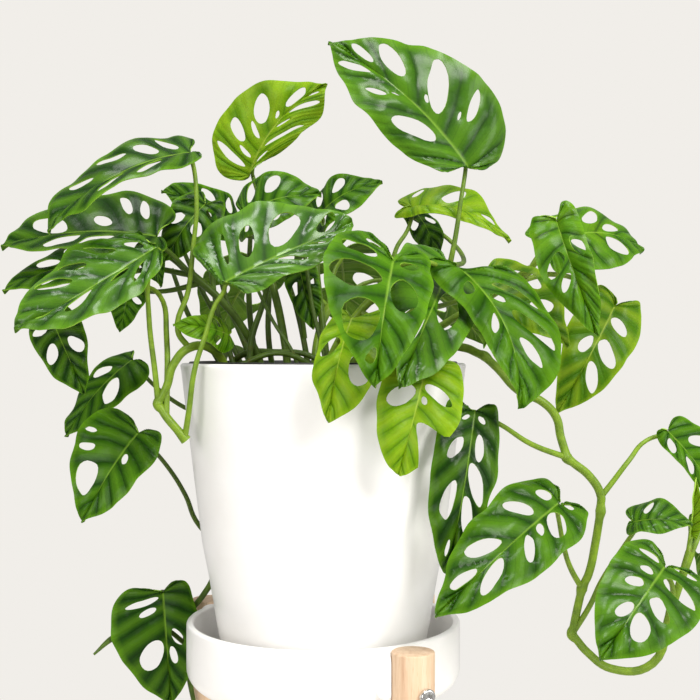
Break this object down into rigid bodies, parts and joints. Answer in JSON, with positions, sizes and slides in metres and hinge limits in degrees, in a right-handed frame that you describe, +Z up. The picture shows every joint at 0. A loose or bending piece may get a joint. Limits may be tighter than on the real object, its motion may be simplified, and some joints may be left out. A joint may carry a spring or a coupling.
{
  "type": "potted monstera adansonii",
  "caption": "Potted climbing aroid with heart-shaped leaves full of oval holes, in a tapered white glazed pot that stands in a round tray on wooden dowel legs.",
  "frame": {"origin": "the middle of the outline, at the level of the leg ends", "axes": "+Z up, -Y is the front that the picture shows, +X to the viewer's right"},
  "size_m": [0.3507, 0.2284, 0.439],
  "materials": {
    "white_glaze": "glossy white glaze",
    "black_plastic": "matte black",
    "potting_soil": "rough, damp",
    "pale_wood": "sanded, pale",
    "bright_steel": "polished",
    "leaf": "satin, mature green",
    "young_leaf": "satin, yellow-green",
    "stem": "satin green"
  },
  "bodies": {
    "root": {"pot": "white_glaze", "nursery_pot": "black_plastic", "soil": "potting_soil", "tray": "white_glaze", "leg_right_front": "pale_wood", "bolt_right_front": "bright_steel", "leg_right_back": "pale_wood", "bolt_right_back": "bright_steel", "leg_left_back": "pale_wood", "bolt_left_back": "bright_steel", "leaf_left_top": "leaf", "leaf_left_twisted": "leaf", "leaf_left_front": "leaf", "leaf_left_behind": "leaf", "leaf_left_hanging": "leaf", "leaf_left_small": "leaf", "leaf_inner_left": "leaf", "leaf_inner_dark": "leaf", "leaf_upright": "young_leaf", "leaf_glossy": "leaf", "leaf_inner_top": "leaf", "leaf_inner_right": "leaf", "leaf_front_heart": "leaf", "leaf_front_behind": "leaf", "leaf_front_low_left": "young_leaf", "leaf_front_torn": "young_leaf", "leaf_front_right": "leaf", "leaf_arched": "young_leaf", "leaf_wavy": "young_leaf", "leaf_dark_hanging": "leaf", "leaf_top": "leaf", "leaf_right_top": "leaf", "leaf_right_folded": "leaf", "leaf_right_yellow": "young_leaf", "leaf_low_hanging": "leaf", "leaf_low_front": "leaf", "leaf_low_right": "leaf", "leaf_far_right": "leaf", "leaf_small_arch": "leaf", "leaf_trailing_folded": "leaf", "leaf_trailing": "leaf", "leaf_trailing_low": "leaf", "leaf_rolled": "leaf", "leaf_edge_dark": "leaf", "leaf_soil_small": "leaf", "leaf_back_left": "leaf", "leaf_back_middle": "leaf", "leaf_back_right": "leaf", "vine_left": "stem", "vine_trailing": "stem", "vine_right": "stem", "vine_right_top": "stem", "vine_front_right": "stem", "vine_front": "stem", "vine_inner": "stem", "vine_left_back": "stem", "vine_middle": "stem", "vine_top": "stem", "vine_back": "stem"}
  },
  "joints": []
}
